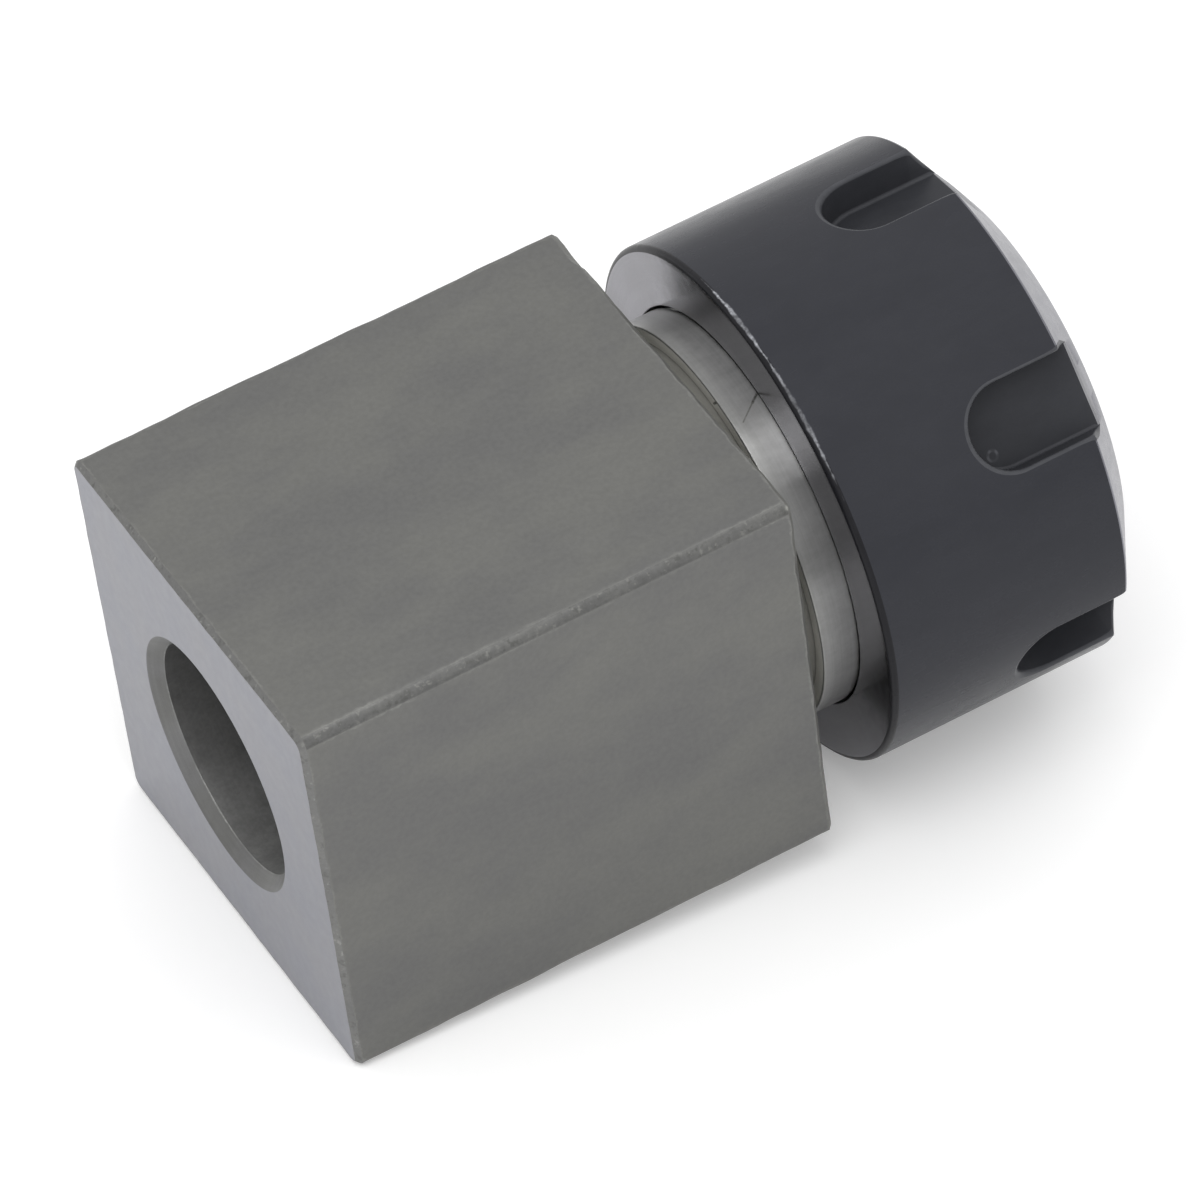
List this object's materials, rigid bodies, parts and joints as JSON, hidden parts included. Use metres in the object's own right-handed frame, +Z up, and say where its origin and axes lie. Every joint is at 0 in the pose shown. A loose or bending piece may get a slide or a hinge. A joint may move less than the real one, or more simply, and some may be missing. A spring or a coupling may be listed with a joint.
{
  "type": "square collet block",
  "caption": "Square steel block with a taper socket, a slotted spring collet and a slotted clamping nut, for holding round work in a vice by its flats.",
  "frame": {"origin": "centre of the block's rear face, on the bore axis", "axes": "+X along the bore axis from the rear face to the nut, +Z up, the block's flats square to Y and Z"},
  "size_m": [0.068, 0.042, 0.042],
  "materials": {
    "block_steel": "matte grey hardened steel, lightly mottled",
    "collet_steel": "ground spring steel",
    "nut_steel": "satin black oxide with a bare ground front cone"
  },
  "bodies": {
    "block": {"block_body": "block_steel"},
    "collet": {"collet": "collet_steel"},
    "nut": {"clamping_nut": "nut_steel"}
  },
  "joints": [
    {"name": "collet_draw", "type": "slide", "parent": "block", "child": "collet", "axis": [1, 0, 0], "range_m": [0, 0.0075]},
    {"name": "nut_turn", "type": "hinge", "parent": "collet", "child": "nut", "pos_m": [0.056, 0, 0], "axis": [1, 0, 0], "range_deg": [0, 1800]}
  ],
  "couplings": [
    {"joint": "collet_draw", "follows": "nut_turn", "m_per_rad": 0.00023873}
  ]
}
